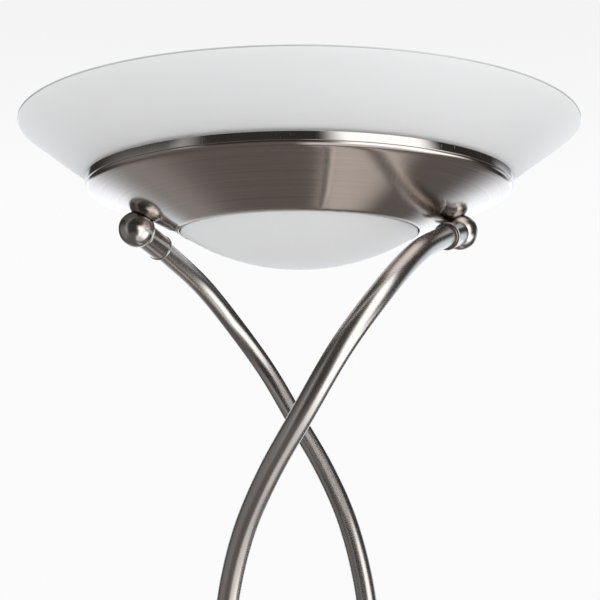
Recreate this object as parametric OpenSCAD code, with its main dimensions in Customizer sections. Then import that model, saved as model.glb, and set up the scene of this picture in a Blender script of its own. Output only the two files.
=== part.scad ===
// Torchiere floor lamp: an opal glass shade in a brushed metal dish, carried by two crossing bent tubes.
// Millimetres, +Z up. The origin is on the floor, under the middle of the lamp.

/* [Lamp] */
// Height from the floor to the rim of the glass shade
lamp_h = 1800; // [1500:10:2000]
// Turn of both arm mountings about the vertical axis, in degrees
arm_turn = 3; // [0:1:6]

/* [Glass shade] */
// Outer radius of the glass rim
shade_r = 200; // [190:1:215]
// Thickness of the shade glass
shade_wall = 4; // [3:0.5:5]
// Slope of the shade above the horizontal, in degrees
shade_slope = 36; // [34:1:38]
// Radius of the hole in the bottom of the shade glass
shade_hole_r = 131; // [130:1:133]

/* [Dish] */
// Outer radius of the polished rim ring round the dish
dish_r = 152.6; // [151:0.1:154]
// Radius of the round opening in the bottom of the dish
opening_r = 87; // [86:1:88]
// Slope of the dish wall above the horizontal, in degrees
dish_slope = 23.5; // [22:0.5:24.5]
// Thickness of the dish sheet
dish_sheet = 1.2; // [1:0.1:1.5]
// Depth of the dish rim below the glass rim
dish_drop = 36.7; // [35:0.1:39]
// Height of the polished rim ring
ring_h = 6.2; // [5:0.1:8]

/* [Lower dome] */
// Spherical radius of the lower opal dome
dome_sphere_r = 160; // [150:1:200]
// Thickness of the dome glass
dome_wall = 3; // [2:0.5:4]

/* [Arms] */
// Outer diameter of the arm tubes
tube_d = 15; // [14:0.2:15.2]
// Wall thickness of the arm tubes
tube_wall = 1.2; // [1:0.1:1.5]
// Diameter of the balls under the dish
ball_d = 26; // [25:0.5:28]
// Distance of each ball from the lamp's axis
ball_reach = 116; // [114:0.5:118]
// Diameter of the collar between ball and tube
collar_d = 18.6; // [18.4:0.1:19]
// Distance from the ball's middle to the tube end of its collar
collar_end = 35; // [30:0.5:38]

/* [Base] */
// Outer radius of the base cover
base_r = 145; // [135:1:160]
// Height of the base cover's middle above the floor
base_h = 33; // [30:1:38]
// Radius of the cast weight in the base
weight_r = 118; // [116:1:124]
// Thickness of the cast weight
weight_h = 17; // [17:0.5:18]

/* [Foot switch] */
// Travel of the foot button
button_travel = 4; // [3:0.5:5]
// Distance of the foot button from the lamp's axis
button_reach = 96; // [90:1:100]

/* [Hidden] */
$fn = 96;

sides = [-1, 1];

// Gap between the loose shade glass and its seat
seat_gap = 0.3;

// The dish: its wall is a cone between the opening and the neck that holds the rim ring
dish_top_z = lamp_h - dish_drop;
neck_r = dish_r - 2.4;
wall_top_r = 149;
wall_top_z = dish_top_z - 9;
opening_z = wall_top_z - (wall_top_r - opening_r) * tan(dish_slope);
sheet_v = dish_sheet / cos(dish_slope);
flange_top_z = opening_z + 6.4;
function dish_outer_z(r) = opening_z + (r - opening_r) * tan(dish_slope);

// The arms' mountings: each ball has a flat against the dish wall
ball_r = ball_d / 2;
ball_z = lamp_h - 70.8;
ball_flat = (dish_outer_z(ball_reach) - ball_z) * cos(dish_slope);
nipple_r = 4.9;
nipple_bore_r = 3.6;
nipple_gap = 0.05;
strap_gap = 0.4;
strap_t = 2.5;
strap_w = 26;
strap_in_z = ball_flat + dish_sheet + strap_gap;
nut_z = strap_in_z + strap_t + 1;
nut_h = 5;

// The bridge across the dish and what stands on it
bridge_z = lamp_h - 57;
bridge_top = bridge_z + strap_t;
lamp_z = lamp_h - 36;
cap_end_x = 57;
holder_in_x = 53.6;
holder_out_x = 73;
bracket_t = 1.5;
bracket_w = 18;
pin_r = 1.6;
pin_out_x = 55.45;
terminal_x = 84;

// The arms' path: points by hand, from the right collar's end down to the right base socket
tube_r = tube_d / 2;
bore_r = tube_r - tube_wall;
collar_r = collar_d / 2;
start_dir = unit([-0.385, -0.89, -0.24]);
end_dir = [0, 0, -1];
ball_at = [ball_reach * cos(arm_turn), ball_reach * sin(arm_turn), ball_z];
socket_reach = 95;
tube_foot_z = base_h + 3;
drops = [
    [97, -38, 83], [74, -85, 102], [53, -113, 127], [26, -125, 164], [3, -115, 203],
    [-19, -92, 241], [-36, -64, 280], [-47, -40, 325], [-51, -13, 400], [-49, 14, 500],
    [-37, 38, 620], [-14, 50, 750], [18, 50, 900], [48, 38, 1080], [72, 22, 1280],
    [88, 10, 1480]
];
ROUTE = concat(
    [ball_at + collar_end * start_dir],
    [for (d = drops) [d[0], d[1], lamp_h - d[2]]],
    [for (z = [180, 90, tube_foot_z]) [socket_reach, 5, z]]
);
ROUTE_ENDS = [start_dir, end_dir];
SPLIT = 13;
SUBSTEPS = 3;
last = len(ROUTE) - 1;
ball_up = [-sin(dish_slope) * cos(arm_turn), -sin(dish_slope) * sin(arm_turn), cos(dish_slope)];

// The base
foot_h = 3;
plate_t = 1.5;
plate_z = foot_h;
weight_z = plate_z + plate_t;
weight_top = weight_z + weight_h;
cover_t = 1.2;
socket_r = 14;
socket_h = 20;
button_r = 11;
button_top_z = base_h + 9;
inlet_z = 12.5;
lead_r = 1.8;
lead_z = weight_z + 2.6;
channel_h = 5.4;
nut_pocket_h = 13.4;

function unit(v) = v / norm(v);

// Direction of a smooth path at its point i: given at the ends, else the slope of a parabola through 3 points
function path_dir(p, ends, i) =
    i == 0 ? ends[0] :
    i == len(p) - 1 ? ends[1] :
    let (
        a = p[i] - p[i - 1],
        b = p[i + 1] - p[i],
        la = norm(a),
        lb = norm(b)
    ) (a * lb / la + b * la / lb) / (la + lb);

// Station on the smooth path between its points i and i + 1, t from 0 to 1: a point and a direction
function station(p, ends, i, t) =
    let (
        l = norm(p[i + 1] - p[i]),
        a = l * path_dir(p, ends, i),
        b = l * path_dir(p, ends, i + 1),
        u = 1 - t
    ) [
        u * u * (1 + 2 * t) * p[i] + t * u * u * a + t * t * (3 - 2 * t) * p[i + 1] - t * t * u * b,
        unit(6 * t * u * (p[i + 1] - p[i]) + u * (1 - 3 * t) * a + t * (3 * t - 2) * b)
    ];

// Stations from point i0 to point i1 of a path
function stations(p, ends, i0, i1, steps) = concat(
    [for (i = [i0:i1 - 1], k = [0:steps - 1]) station(p, ends, i, k / steps)],
    [[p[i1], unit(path_dir(p, ends, i1))]]
);

// Sideways directions along a path, each turned from the one before as little as the bend needs
function sideways(list, u, i = 0) =
    i == len(list) ? [] :
    let (v = unit(u - (u * list[i][1]) * list[i][1])) concat([v], sideways(list, v, i + 1));

// Closed rings of points round all stations, one after another
function rings_round(list, r, n) =
    let (
        first = list[0][1],
        u = sideways(list, abs(first[2]) < 0.9 ? cross(first, [0, 0, 1]) : cross(first, [1, 0, 0]))
    ) [
        for (j = [0:len(list) - 1], k = [0:n - 1])
            let (v = cross(u[j], list[j][1]))
            list[j][0] + r * (cos(360 * k / n) * u[j] + sin(360 * k / n) * v)
    ];

// Side faces between rings of n points, the first ring starting at index s
function skin(rings, n, s, out) = [
    for (j = [0:rings - 2], k = [0:n - 1])
        let (a = s + j * n + k, b = s + j * n + (k + 1) % n)
        out ? [a, b, b + n, a + n] : [b, a, a + n, b + n]
];

// Round solid rod swept along stations
module swept_rod(list, r, n) {
    rings = len(list);
    polyhedron(
        points = rings_round(list, r, n),
        faces = concat(
            skin(rings, n, 0, true),
            [[for (k = [n - 1:-1:0]) k]],
            [[for (k = [0:n - 1]) (rings - 1) * n + k]]
        ),
        convexity = 10
    );
}

// Round hollow tube swept along stations
module swept_tube(list, r_out, r_in, n) {
    rings = len(list);
    inner = rings * n;
    end = (rings - 1) * n;
    polyhedron(
        points = concat(rings_round(list, r_out, n), rings_round(list, r_in, n)),
        faces = concat(
            skin(rings, n, 0, true),
            skin(rings, n, inner, false),
            [for (k = [0:n - 1]) let (m = (k + 1) % n) [m, k, inner + k, inner + m]],
            [for (k = [0:n - 1]) let (m = (k + 1) % n) [end + k, end + m, inner + end + m, inner + end + k]]
        ),
        convexity = 10
    );
}

// Places a child made for the right side: side 1 is right, side -1 is left, half a turn round
module on_side(side) {
    rotate([0, 0, side > 0 ? 0 : 180]) children();
}

// Frame at a ball: origin in its middle, +Z through the dish wall, +X away from the lamp's axis
module at_ball(side) {
    on_side(side) rotate([0, 0, arm_turn]) translate([ball_reach, 0, ball_z]) rotate([0, -dish_slope, 0]) children();
}

// Frame at a station: +Z runs along the curve
module at_station(point, dir) {
    translate(point) rotate([0, acos(dir[2]), atan2(dir[1], dir[0])]) children();
}

// Frame of a collar: origin in the ball's middle, +Z down the tube
module at_collar(side) {
    on_side(side) at_station(ball_at, start_dir) children();
}

// Frame of the bridge: +X along the strap
module at_bridge() {
    rotate([0, 0, arm_turn]) children();
}

module ring_solid(r_out, r_in, h) {
    difference() {
        cylinder(r = r_out, h = h);
        translate([0, 0, -1]) cylinder(r = r_in, h = h + 2);
    }
}

module hex(across, h) {
    cylinder(r = across / sqrt(3), h = h, $fn = 6);
}

module hex_nut(across, bore, h) {
    difference() {
        hex(across, h);
        translate([0, 0, -1]) cylinder(r = bore, h = h + 2);
    }
}

// ---- Head ----

module glass_shade() {
    top = lamp_h;
    bottom = top - (shade_r - shade_hole_r) * tan(shade_slope);
    lift = shade_wall / cos(shade_slope);
    color("whitesmoke")
        rotate_extrude($fn = 180)
            polygon([
                [shade_hole_r, bottom], [shade_r - 0.8, top - 1.4], [shade_r, top - 0.6],
                [shade_r - 0.4, top], [shade_r - shade_wall * 0.9, top],
                [shade_r - 7.5, top - 1.6], [shade_hole_r, bottom + lift]
            ]);
}

// Silicone ring that the foot of the shade glass stands on
module shade_seat() {
    low = shade_hole_r - 2;
    high = shade_hole_r + 3;
    glass_low = lamp_h - (shade_r - shade_hole_r) * tan(shade_slope) - seat_gap;
    lift = sheet_v + 0.15;
    color("silver")
        rotate_extrude($fn = 180)
            polygon([
                [low, dish_outer_z(low) + lift], [high, dish_outer_z(high) + lift],
                [high, glass_low + 3 * tan(shade_slope)], [shade_hole_r, glass_low], [low, glass_low]
            ]);
}

module rim_ring() {
    z = dish_top_z - ring_h;
    color("dimgray")
        rotate_extrude($fn = 180) difference() {
            union() {
                translate([neck_r, z + 1]) square([dish_r - neck_r, ring_h - 2]);
                translate([neck_r, z]) square([dish_r - neck_r - 1, ring_h]);
                translate([dish_r - 1, z + 1]) circle(r = 1, $fn = 32);
                translate([dish_r - 1, dish_top_z - 1]) circle(r = 1, $fn = 32);
            }
            translate([neck_r - 5, z - 1]) square([5, ring_h + 2]);
        }
}

module dish() {
    neck_low = dish_top_z - ring_h;
    color("rosybrown")
        difference() {
            rotate_extrude($fn = 180)
                polygon([
                    [opening_r - 1.2, opening_z + 0.6], [opening_r - 0.6, opening_z],
                    [wall_top_r, wall_top_z], [neck_r, wall_top_z + 0.8], [neck_r + 0.9, neck_low - 1],
                    [neck_r + 1.1, neck_low], [neck_r, neck_low], [neck_r, dish_top_z - 0.6],
                    [neck_r - 1, dish_top_z - 0.6], [neck_r - 1, dish_outer_z(neck_r - 1) + sheet_v],
                    [opening_r + 1.6, dish_outer_z(opening_r + 1.6) + sheet_v],
                    [opening_r, opening_z + 2.2], [opening_r, flange_top_z], [opening_r - 1.2, flange_top_z]
                ]);
            for (side = sides)
                at_ball(side) translate([0, 0, 4]) cylinder(r = nipple_r + nipple_gap, h = 12);
        }
}

dome_neck_r = opening_r - 2.2;
dome_centre_z = opening_z - 0.4 + sqrt(dome_sphere_r * dome_sphere_r - dome_neck_r * dome_neck_r);

module lower_dome() {
    neck_top = flange_top_z + 1.5;
    color("gainsboro")
        rotate_extrude($fn = 180) {
            intersection() {
                difference() {
                    translate([0, dome_centre_z]) circle(r = dome_sphere_r, $fn = 360);
                    translate([0, dome_centre_z]) circle(r = dome_sphere_r - dome_wall, $fn = 360);
                }
                translate([0, dome_centre_z - dome_sphere_r - 1])
                    square([dome_neck_r, opening_z - 0.4 - dome_centre_z + dome_sphere_r + 1.6]);
            }
            translate([dome_neck_r - dome_wall, opening_z - 0.4]) square([dome_wall, neck_top - opening_z + 3.4]);
            translate([dome_neck_r - dome_wall, neck_top]) square([dome_wall + 6.5, 3]);
        }
}

// Silicone ring between the dome's flange and the turned-up edge of the dish opening
module dome_gasket() {
    color("silver")
        translate([0, 0, flange_top_z]) ring_solid(opening_r + 1.5, dome_neck_r + 0.3, 1.5);
}

module bridge() {
    end_x = -15.5;
    color("lightgray")
        difference() {
            at_bridge() translate([0, strap_w / 2, 0]) rotate([90, 0, 0]) linear_extrude(strap_w) {
                translate([-95, bridge_z]) square([190, strap_t]);
                for (m = [0, 1]) mirror([m, 0]) {
                    translate([95, bridge_z]) rotate(-56) translate([-strap_t, 0]) square([11.2, strap_t]);
                    translate([ball_reach, ball_z]) rotate(dish_slope)
                        translate([end_x, strap_in_z]) square([10 - end_x, strap_t]);
                }
            }
            for (side = sides)
                at_ball(side) translate([0, 0, 4]) cylinder(r = nipple_r + nipple_gap, h = 14);
            at_bridge() for (x = [-40, 40])
                translate([x, 0, bridge_z - 1]) cylinder(r = 2.05, h = strap_t + 2);
            at_bridge() translate([-84, 0, bridge_z - 1]) cylinder(r = 2.05, h = strap_t + 2);
        }
}

module bridge_washers() {
    color("silver")
        for (side = sides)
            at_ball(side) translate([0, 0, strap_in_z + strap_t]) ring_solid(8.5, nipple_r + nipple_gap, 1);
}

module bridge_nuts() {
    color("goldenrod")
        for (side = sides)
            at_ball(side) translate([0, 0, nut_z]) hex_nut(14, nipple_r + nipple_gap, nut_h);
}

module dish_nipple(side) {
    color("goldenrod")
        at_ball(side) translate([0, 0, 5.2]) ring_solid(nipple_r, nipple_bore_r, nut_z + nut_h + 1 - 5.2);
}

module lamp_bracket() {
    color("silver")
        at_bridge() difference() {
            union() {
                translate([-holder_out_x - bracket_t, -bracket_w / 2, bridge_top])
                    cube([2 * (holder_out_x + bracket_t), bracket_w, bracket_t]);
                for (side = sides)
                    translate([side > 0 ? holder_out_x : -holder_out_x - bracket_t, -bracket_w / 2, bridge_top])
                        cube([bracket_t, bracket_w, 30]);
            }
            for (x = [-40, 40])
                translate([x, 0, bridge_top - 1]) cylinder(r = 2.05, h = bracket_t + 2);
        }
}

module bracket_screws() {
    color("goldenrod")
        at_bridge() for (x = [-40, 40]) translate([x, 0, bridge_top + bracket_t]) {
            difference() {
                cylinder(r = 3.5, h = 2.4);
                translate([-3, -0.5, 1.4]) cube([6, 1, 2]);
            }
            translate([0, 0, -5.5]) cylinder(r = 2, h = 6);
        }
}

module lampholder(side) {
    w = 17;
    h = 22;
    color("white")
        at_bridge() rotate([0, 0, side > 0 ? 0 : 180]) translate([0, 0, lamp_z]) difference() {
            translate([holder_in_x, -w / 2, -h / 2]) cube([holder_out_x - holder_in_x, w, h]);
            translate([holder_in_x - 1, 0, 0]) rotate([0, 90, 0]) cylinder(r = 6, h = 5.4);
            translate([holder_in_x, 0, 0]) rotate([0, 90, 0]) cylinder(r = pin_r + 0.05, h = 12);
            translate([62, 0, 0]) rotate([0, 90, 0]) cylinder(r = 3.4, h = 9);
        }
}

// Sprung contact: its tip stands in the lamp's end cap and its shoulder in the ceramic's chamber
module contact_pin(side) {
    color("goldenrod")
        at_bridge() rotate([0, 0, side > 0 ? 0 : 180]) translate([pin_out_x, 0, lamp_z]) rotate([0, 90, 0]) {
            cylinder(r = pin_r, h = 9.2);
            translate([0, 0, 6.8]) cylinder(r = 3, h = 2);
        }
}

module halogen_tube() {
    l = 48;
    color("aliceblue")
        at_bridge() translate([-l, 0, lamp_z]) rotate([0, 90, 0]) difference() {
            cylinder(r = 5, h = 2 * l);
            translate([0, 0, 1]) cylinder(r = 4, h = 2 * l - 2);
        }
}

module halogen_caps() {
    color("ivory")
        at_bridge() for (side = sides)
            rotate([0, 0, side > 0 ? 0 : 180]) translate([48, 0, lamp_z]) rotate([0, 90, 0]) difference() {
                cylinder(r = 4.2, h = cap_end_x - 48);
                translate([0, 0, cap_end_x - 48 - 1.6]) cylinder(r = 2.2, h = 3);
            }
}

module filament() {
    color("dimgray")
        at_bridge() translate([-46.9, 0, lamp_z]) rotate([0, 90, 0]) cylinder(r = 0.7, h = 93.8, $fn = 24);
}

module terminal_block() {
    color("white")
        at_bridge() translate([terminal_x - 4, -12, bridge_top]) difference() {
            cube([10, 24, 12]);
            for (y = [5, 12, 19]) {
                translate([5, y, 6]) cylinder(r = 1.8, h = 8);
                translate([-1, y, 5]) rotate([0, 90, 0]) cylinder(r = 1.4, h = 12);
            }
        }
}

module earth_screw() {
    color("goldenrod")
        at_bridge() translate([-84, 0, bridge_top]) {
            difference() {
                cylinder(r = 3.8, h = 2.6);
                translate([-3.2, -0.5, 1.6]) cube([6.4, 1, 2]);
            }
            translate([0, 0, -4]) cylinder(r = 2, h = 4.5);
        }
}

// Insulated lead along a smooth path whose ends run straight on
module lead(p, r, steps) {
    n = len(p) - 1;
    swept_rod(stations(p, [unit(p[1] - p[0]), unit(p[n] - p[n - 1])], 0, n, steps), r, 8);
}

// Heat-proof leads from the terminal block to the two lampholders
module head_leads() {
    r = 1.3;
    z = bridge_top + 5;
    low = bridge_top + 2.2;
    x = terminal_x - 4.4;
    back = holder_out_x + bracket_t + 2;
    side_y = bracket_w / 2 + 3.2;
    over = [
        [back + 0.4, 6, lamp_z + 6], [back + 0.3, 6, lamp_z + 12.5], [back - 3, 5.5, lamp_z + 16],
        [back - 7, 5.2, lamp_z + 15.4], [back - 9, 5, lamp_z + 12.6]
    ];
    color("white")
        at_bridge() {
            lead(concat([[x, 7, z], [x - 1.4, 7, z + 0.2], [back + 0.8, 6.8, z + 2.4]], over), r, 4);
            lead(concat(
                [
                    [x, 0, z], [x - 1.4, -0.2, z], [back + 0.6, -2.6, z - 0.3], [back, -12, z - 2],
                    [back - 8, -side_y, low], [40, -side_y, low], [-40, -side_y, low],
                    [8 - back, -side_y, low], [0.7 - back, -12, z - 2], [-back - 0.7, -6.5, z + 2]
                ],
                [for (p = over) [-p[0], -p[1], p[2]]]
            ), r, 4);
        }
}

// ---- Arms ----

module ball(side) {
    color("gray")
        difference() {
            at_ball(side) difference() {
                sphere(r = ball_r);
                translate([-ball_r, -ball_r, ball_flat]) cube([ball_d, ball_d, ball_r]);
                cylinder(r = nipple_r + nipple_gap, h = ball_r);
            }
            at_collar(side) cylinder(r = nipple_r + nipple_gap, h = ball_r + 1);
        }
}

module arm_nipple(side) {
    color("goldenrod")
        at_collar(side) translate([0, 0, 5.2]) ring_solid(nipple_r, nipple_bore_r, 11.4);
}

module collar(side) {
    seat = collar_end - 14;
    color("silver")
        at_collar(side) difference() {
            union() {
                translate([0, 0, 8]) cylinder(r = collar_r, h = collar_end - 8);
                translate([0, 0, collar_end - 1.6]) cylinder(r = collar_r + 0.5, h = 1.6);
            }
            sphere(r = ball_r + 0.05);
            translate([0, 0, seat]) cylinder(r = tube_r + 0.1, h = 20);
            cylinder(r = nipple_r + nipple_gap, h = seat + 1);
        }
}

// Stations of the upper tube: it starts straight, inside the collar
function upper_stations() = concat(
    [[ball_at + (collar_end - 13.5) * start_dir, start_dir]],
    stations(ROUTE, ROUTE_ENDS, 0, SPLIT, SUBSTEPS)
);

// Shifts the first or last station of a list along its direction
function trimmed(list, cut_start, cut_end) = [
    for (i = [0:len(list) - 1])
        i == 0 ? [list[i][0] + cut_start * list[i][1], list[i][1]] :
        i == len(list) - 1 ? [list[i][0] - cut_end * list[i][1], list[i][1]] :
        list[i]
];

coupling_ring = 5;
TUBE_SIDES = 16;

module upper_tube(side) {
    color("gray")
        on_side(side) swept_tube(trimmed(upper_stations(), 0, coupling_ring / 2), tube_r, bore_r, TUBE_SIDES);
}

module lower_tube(side) {
    color("gray")
        on_side(side)
            swept_tube(
                trimmed(stations(ROUTE, ROUTE_ENDS, SPLIT, last, SUBSTEPS), coupling_ring / 2, 0),
                tube_r, bore_r, TUBE_SIDES
            );
}

// Turned coupling with a stub in each tube and a narrow ring between them
module coupling(side) {
    stub = 14;
    color("silver")
        on_side(side) at_station(ROUTE[SPLIT], unit(path_dir(ROUTE, ROUTE_ENDS, SPLIT))) difference() {
            union() {
                translate([0, 0, -coupling_ring / 2]) cylinder(r = tube_r + 1, h = coupling_ring);
                translate([0, 0, -stub]) cylinder(r = bore_r - 0.35, h = 2 * stub);
            }
            translate([0, 0, -stub - 1]) cylinder(r = 3.6, h = 2 * stub + 2);
        }
}

// Two-core supply lead: from the terminal block through the right ball, arm and base bolt to the foot switch
module supply_lead() {
    block_side = [terminal_x + 6.6, 3, bridge_top + 6];
    turned = [
        block_side[0] * cos(arm_turn) - block_side[1] * sin(arm_turn),
        block_side[0] * sin(arm_turn) + block_side[1] * cos(arm_turn),
        block_side[2]
    ];
    p = concat(
        [turned, ball_at + 27 * ball_up - [4, 0, 0], ball_at + 20 * ball_up],
        [ball_at + 7.2 * ball_up, ball_at + 7.2 * start_dir],
        ROUTE,
        [[socket_reach, 5, 15], [socket_reach - 2, 3, 9.2], [socket_reach - 7, -2.4, lead_z]],
        [[socket_reach - 27, -24, lead_z], [12, -button_reach + 13, lead_z]]
    );
    color("black") lead(p, lead_r, 2);
}

// ---- Base ----

module base_socket(side) {
    z = base_h + 0.1;
    color("silver")
        on_side(side) translate([socket_reach, 5, 0]) difference() {
            union() {
                translate([0, 0, z]) cylinder(r = socket_r, h = 4);
                translate([0, 0, z + 4]) cylinder(r1 = socket_r - 1, r2 = tube_r + 2.6, h = 5);
                translate([0, 0, z + 9]) cylinder(r = tube_r + 2.6, h = socket_h - 9);
            }
            translate([0, 0, tube_foot_z - 0.05]) cylinder(r = tube_r + 0.1, h = 40);
            translate([0, 0, z - 1]) cylinder(r = nipple_r + nipple_gap, h = 20);
        }
}

// Hollow bolts that draw the sockets down onto the weight
module base_bolts() {
    color("goldenrod")
        for (side = sides)
            on_side(side) translate([socket_reach, 5, weight_z + nut_pocket_h - 5])
                ring_solid(nipple_r, nipple_bore_r, tube_foot_z - weight_z - nut_pocket_h + 4.4);
}

module base_nuts() {
    color("goldenrod")
        for (side = sides)
            on_side(side) translate([socket_reach, 5, weight_z + nut_pocket_h - 4.6])
                hex_nut(14, nipple_r + nipple_gap, 4.6);
}

// Tubes that hold the cover off the weight under each socket
module base_spacers() {
    color("silver")
        for (side = sides)
            on_side(side) translate([socket_reach, 5, weight_top])
                ring_solid(8, nipple_r + nipple_gap, base_h - cover_t - weight_top);
}

// The base cover: flat out to the sockets, then a shallow fall to its rounded edge
cover_flat_r = socket_reach + socket_r + 4;
cover_fall = 19;
cover_edge_r = 5;
cover_edge_z = base_h - (base_r - cover_edge_r - cover_flat_r) * tan(cover_fall) - cover_edge_r / cos(cover_fall);

// Points of the cover's rounded edge at a given radius round its middle, from the top down
function cover_edge(r, angles) = [
    for (a = angles) [base_r - cover_edge_r + r * cos(a), cover_edge_z + r * sin(a)]
];

module base_cover() {
    skirt_z = foot_h + 0.6;
    top = 90 - cover_fall;
    inner_r = cover_edge_r - cover_t;
    color("gray")
        difference() {
            rotate_extrude($fn = 180)
                polygon(concat(
                    [[0, base_h], [cover_flat_r, base_h]],
                    cover_edge(cover_edge_r, [top, top * 0.75, top * 0.5, top * 0.25, 0]),
                    [[base_r, skirt_z], [base_r - cover_t, skirt_z]],
                    cover_edge(inner_r, [0, top * 0.33, top * 0.67, top]),
                    [[cover_flat_r, base_h - cover_t], [0, base_h - cover_t]]
                ));
            for (side = sides)
                on_side(side) translate([socket_reach, 5, base_h - 5]) cylinder(r = nipple_r + nipple_gap, h = 8);
            translate([0, -button_reach, base_h - 5]) cylinder(r = button_r + 1.05, h = 8);
            translate([0, base_r - 10, inlet_z]) rotate([-90, 0, 0]) cylinder(r = 6.05, h = 14);
        }
}

// Straight channel in the underside of the weight, between two places
module channel(a, b) {
    v = b - a;
    translate([a[0], a[1], weight_z - 1]) rotate([0, 0, atan2(v[1], v[0])])
        translate([0, -3.5, 0]) cube([norm(v), 7, channel_h + 1]);
}

module base_weight() {
    color("dimgray")
        difference() {
            translate([0, 0, weight_z]) cylinder(r = weight_r, h = weight_h, $fn = 180);
            for (side = sides) on_side(side) translate([socket_reach, 5, weight_z - 1]) {
                cylinder(r = 10, h = nut_pocket_h + 1);
                cylinder(r = nipple_r + nipple_gap, h = weight_h + 2);
            }
            translate([0, -button_reach, weight_z - 1]) cylinder(r = 17, h = weight_h + 2);
            channel([socket_reach, 5], [0, -button_reach]);
            channel([0, -button_reach], [0, weight_r + 2]);
            for (a = [45:90:315])
                rotate([0, 0, a]) translate([weight_r - 16, 0, weight_z - 1]) cylinder(r = 2.05, h = 8);
        }
}

module base_plate() {
    color("black")
        difference() {
            translate([0, 0, plate_z]) cylinder(r = base_r - 3, h = plate_t, $fn = 180);
            for (a = [45:90:315])
                rotate([0, 0, a]) translate([weight_r - 16, 0, plate_z - 1]) cylinder(r = 2.05, h = plate_t + 2);
        }
}

module plate_screws() {
    color("silver")
        for (a = [45:90:315])
            rotate([0, 0, a]) translate([weight_r - 16, 0, plate_z - 1.6]) {
                difference() {
                    cylinder(r = 3.6, h = 1.6);
                    translate([-3, -0.5, -1]) cube([6, 1, 1.8]);
                }
                cylinder(r = 2, h = 7);
            }
}

module base_feet() {
    color("black")
        for (a = [0:60:300])
            rotate([0, 0, a + 15]) translate([base_r - 16, 0, 0]) cylinder(r = 9, h = foot_h);
}

// Grommet in the cover's back wall where the supply cord would come in
module cable_inlet() {
    color("black")
        translate([0, base_r - 8, inlet_z]) rotate([-90, 0, 0]) difference() {
            union() {
                cylinder(r = 6.6, h = 6.2);
                translate([0, 0, 8.2]) cylinder(r = 7.5, h = 2);
                cylinder(r = 6, h = 9);
            }
            translate([0, 0, -1]) cylinder(r = 3.5, h = 20);
        }
}

// Lead inside the base, from the inlet grommet to the foot switch
module inlet_lead() {
    y = base_r - 9;
    color("black") lead([
        [0, y, inlet_z], [0, y - 6, inlet_z - 1], [0, y - 13, lead_z + 1], [0, y - 22, lead_z], [0, 60, lead_z],
        [0, -20, lead_z], [0, -button_reach + 17.5, lead_z]
    ], lead_r, 3);
}

switch_z = weight_z + 2.2;
switch_top = base_h - cover_t - 0.3;

// Foot switch: a body with a threaded neck through the cover, its ring nut and its sprung button
module switch_body() {
    color("black")
        translate([0, -button_reach, 0]) difference() {
            union() {
                translate([0, 0, switch_z]) cylinder(r = 15, h = switch_top - switch_z);
                translate([0, 0, switch_z]) cylinder(r = button_r + 1, h = base_h + 5 - switch_z);
            }
            translate([0, 0, switch_z + 9]) cylinder(r = button_r - 0.4, h = 40);
        }
}

module switch_nut() {
    color("silver")
        translate([0, -button_reach, base_h + 0.1]) ring_solid(button_r + 4, button_r + 1.05, 3.4);
}

module foot_button() {
    r = button_r - 0.45;
    stem_z = switch_z + 9 + button_travel + 0.5;
    color("silver")
        translate([0, -button_reach, 0]) {
            translate([0, 0, stem_z]) cylinder(r = r, h = button_top_z - 1.5 - stem_z);
            translate([0, 0, button_top_z - 1.5]) cylinder(r1 = r, r2 = r - 1.5, h = 1.5);
        }
}

glass_shade();
shade_seat();
rim_ring();
dish();
lower_dome();
dome_gasket();
bridge();
bridge_nuts();
bridge_washers();
dish_nipple(-1);  // dish_nipple_left
dish_nipple(1);  // dish_nipple_right
lamp_bracket();
bracket_screws();
lampholder(-1);  // lampholder_left
lampholder(1);  // lampholder_right
contact_pin(-1);  // contact_pin_left
contact_pin(1);  // contact_pin_right
halogen_tube();
halogen_caps();
filament();
terminal_block();
head_leads();
earth_screw();
ball(-1);  // ball_left
ball(1);  // ball_right
arm_nipple(-1);  // arm_nipple_left
arm_nipple(1);  // arm_nipple_right
collar(-1);  // collar_left
collar(1);  // collar_right
upper_tube(-1);  // upper_tube_left
upper_tube(1);  // upper_tube_right
coupling(-1);  // coupling_left
coupling(1);  // coupling_right
lower_tube(-1);  // lower_tube_left
lower_tube(1);  // lower_tube_right
supply_lead();
base_socket(-1);  // base_socket_left
base_socket(1);  // base_socket_right
base_bolts();
base_nuts();
base_spacers();
base_cover();
base_weight();
base_plate();
base_feet();
plate_screws();
cable_inlet();
inlet_lead();
foot_button();
switch_body();
switch_nut();
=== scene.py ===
"""Torchiere floor lamp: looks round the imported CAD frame. Metres, +Z up, in the frame's own coordinates."""

import math

import bmesh
import bpy
from mathutils import Matrix, Vector


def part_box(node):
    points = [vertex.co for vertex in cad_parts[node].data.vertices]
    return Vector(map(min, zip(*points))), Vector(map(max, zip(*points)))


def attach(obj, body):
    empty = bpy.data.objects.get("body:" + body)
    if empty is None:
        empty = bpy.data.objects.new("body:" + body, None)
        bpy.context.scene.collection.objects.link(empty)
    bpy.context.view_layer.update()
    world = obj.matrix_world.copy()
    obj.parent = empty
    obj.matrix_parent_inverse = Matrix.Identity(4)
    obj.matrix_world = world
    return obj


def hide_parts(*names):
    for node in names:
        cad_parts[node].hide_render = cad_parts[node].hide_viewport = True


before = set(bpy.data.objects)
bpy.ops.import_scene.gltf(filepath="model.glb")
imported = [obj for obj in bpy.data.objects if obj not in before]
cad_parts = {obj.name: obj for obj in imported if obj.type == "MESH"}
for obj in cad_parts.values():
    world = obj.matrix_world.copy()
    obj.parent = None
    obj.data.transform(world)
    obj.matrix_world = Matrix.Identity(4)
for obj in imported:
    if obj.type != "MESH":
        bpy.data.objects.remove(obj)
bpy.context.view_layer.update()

MM = 0.001
FRAME_BODY, SHADE_BODY, BUTTON_BODY = "frame", "shade", "button"
SIDES = (("left", -1), ("right", 1))

# ----------------------------------------------------------------------------------------------------
# Sizes: from the frame's boxes where it has them, and named values of the object where it doesn't
# ----------------------------------------------------------------------------------------------------

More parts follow.
